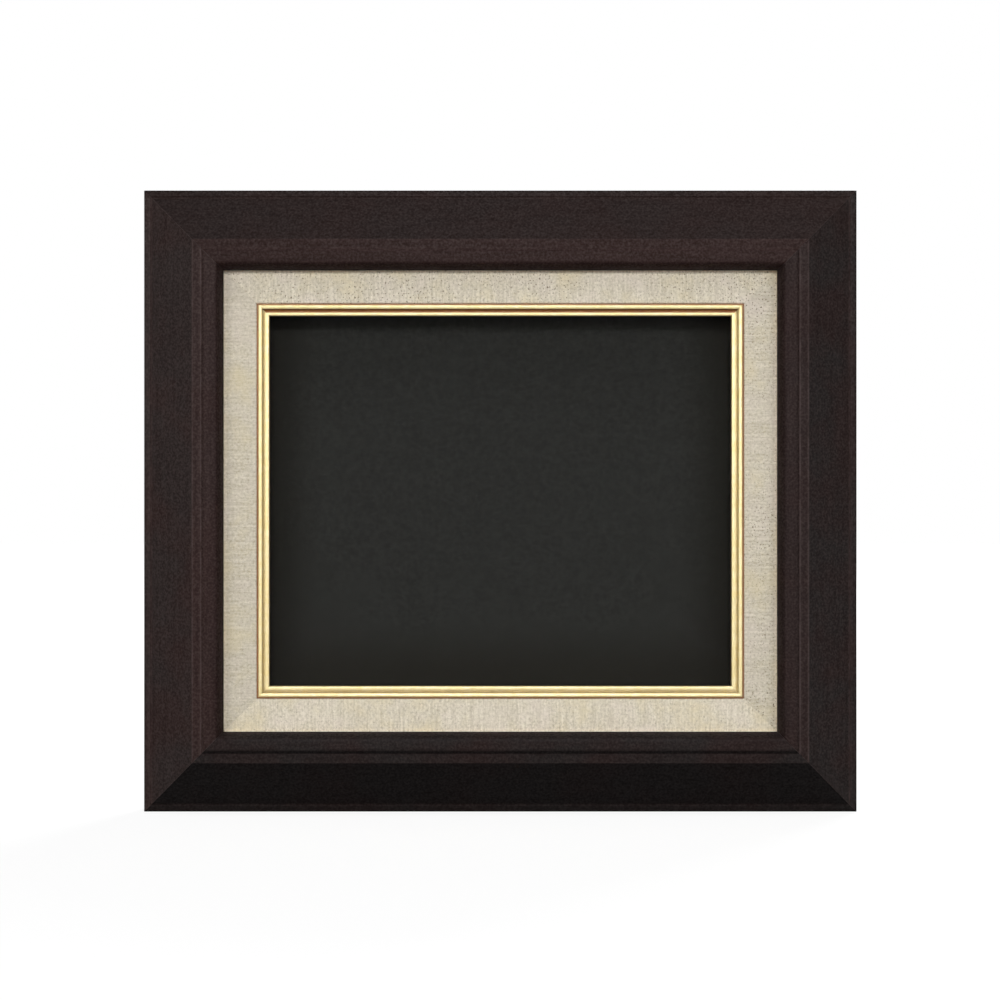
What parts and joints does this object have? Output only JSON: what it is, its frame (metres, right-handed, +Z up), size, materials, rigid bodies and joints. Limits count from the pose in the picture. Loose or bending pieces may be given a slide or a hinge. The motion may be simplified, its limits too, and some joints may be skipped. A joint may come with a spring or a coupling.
{
  "type": "oil painting frame",
  "caption": "Dark wooden frame with a linen-covered liner and a gilt fillet, a clear pane, a back board held by turn buttons, and strap hangers.",
  "frame": {"origin": "centre of the riser's back, on the plane that faces the wall", "axes": "+X across the frame to the right as seen from the front, +Y towards the wall, +Z up; the picture faces -Y"},
  "size_m": [0.4136, 0.0459, 0.3606],
  "materials": {
    "dark_brown_wood": "satin dark brown stain",
    "pale_wood": "sawn, unfinished",
    "linen": "slubby natural weave",
    "gilt": "satin gold leaf over wood",
    "clear_acrylic": "clear, polished",
    "fibreboard": "hard, smooth on the wall side",
    "charcoal_card": "matte",
    "zinc_steel": "zinc plated"
  },
  "bodies": {
    "frame": {"moulding_top": "dark_brown_wood", "moulding_right": "dark_brown_wood", "moulding_bottom": "dark_brown_wood", "moulding_left": "dark_brown_wood", "liner_core_top": "pale_wood", "liner_core_right": "pale_wood", "liner_core_bottom": "pale_wood", "liner_core_left": "pale_wood", "liner_linen_top": "linen", "liner_linen_right": "linen", "liner_linen_bottom": "linen", "liner_linen_left": "linen", "gilt_fillet_top": "gilt", "gilt_fillet_right": "gilt", "gilt_fillet_bottom": "gilt", "gilt_fillet_left": "gilt", "clear_pane": "clear_acrylic", "riser_top": "pale_wood", "riser_right": "pale_wood", "riser_bottom": "pale_wood", "riser_left": "pale_wood", "corner_nail_1": "zinc_steel", "corner_nail_2": "zinc_steel", "corner_nail_3": "zinc_steel", "corner_nail_4": "zinc_steel", "corner_nail_5": "zinc_steel", "corner_nail_6": "zinc_steel", "corner_nail_7": "zinc_steel", "corner_nail_8": "zinc_steel", "riser_screw_1": "zinc_steel", "riser_screw_2": "zinc_steel", "riser_screw_3": "zinc_steel", "riser_screw_4": "zinc_steel", "riser_screw_5": "zinc_steel", "riser_screw_6": "zinc_steel", "riser_screw_7": "zinc_steel", "riser_screw_8": "zinc_steel", "turn_button_screw_1": "zinc_steel", "turn_button_screw_2": "zinc_steel", "turn_button_screw_3": "zinc_steel", "turn_button_screw_4": "zinc_steel", "turn_button_screw_5": "zinc_steel", "turn_button_screw_6": "zinc_steel", "hanger_strap_left": "zinc_steel", "hanger_strap_right": "zinc_steel", "hanger_screw_1": "zinc_steel", "hanger_screw_2": "zinc_steel", "hanger_screw_3": "zinc_steel", "hanger_screw_4": "zinc_steel"},
    "back_board": {"back_board": "fibreboard", "board_facing": "charcoal_card"},
    "turn_button_1": {"turn_button_1": "zinc_steel"},
    "turn_button_2": {"turn_button_2": "zinc_steel"},
    "turn_button_3": {"turn_button_3": "zinc_steel"},
    "turn_button_4": {"turn_button_4": "zinc_steel"},
    "turn_button_5": {"turn_button_5": "zinc_steel"},
    "turn_button_6": {"turn_button_6": "zinc_steel"},
    "hanger_ring_left": {"hanger_ring_left": "zinc_steel"},
    "hanger_ring_right": {"hanger_ring_right": "zinc_steel"}
  },
  "joints": [
    {"name": "back_board_slide", "type": "slide", "parent": "frame", "child": "back_board", "axis": [0, 1, 0], "range_m": [0, 0.08]},
    {"name": "turn_button_1_pivot", "type": "hinge", "parent": "frame", "child": "turn_button_1", "pos_m": [-0.08, 0.0003, 0.1246], "axis": [0, -1, 0], "range_deg": [-90, 0]},
    {"name": "turn_button_2_pivot", "type": "hinge", "parent": "frame", "child": "turn_button_2", "pos_m": [0.08, 0.0003, 0.1246], "axis": [0, -1, 0], "range_deg": [-90, 0]},
    {"name": "turn_button_3_pivot", "type": "hinge", "parent": "frame", "child": "turn_button_3", "pos_m": [0.1511, 0.0003, 0], "axis": [0, -1, 0], "range_deg": [-90, 0]},
    {"name": "turn_button_4_pivot", "type": "hinge", "parent": "frame", "child": "turn_button_4", "pos_m": [0.08, 0.0003, -0.1246], "axis": [0, -1, 0], "range_deg": [-90, 0]},
    {"name": "turn_button_5_pivot", "type": "hinge", "parent": "frame", "child": "turn_button_5", "pos_m": [-0.08, 0.0003, -0.1246], "axis": [0, -1, 0], "range_deg": [-90, 0]},
    {"name": "turn_button_6_pivot", "type": "hinge", "parent": "frame", "child": "turn_button_6", "pos_m": [-0.1511, 0.0003, 0], "axis": [0, -1, 0], "range_deg": [-90, 0]},
    {"name": "hanger_ring_left_swing", "type": "hinge", "parent": "frame", "child": "hanger_ring_left", "pos_m": [-0.1614, 0.0026, 0.085], "axis": [1, 0, 0], "range_deg": [0, 180]},
    {"name": "hanger_ring_right_swing", "type": "hinge", "parent": "frame", "child": "hanger_ring_right", "pos_m": [0.1614, 0.0026, 0.085], "axis": [1, 0, 0], "range_deg": [0, 180]}
  ]
}
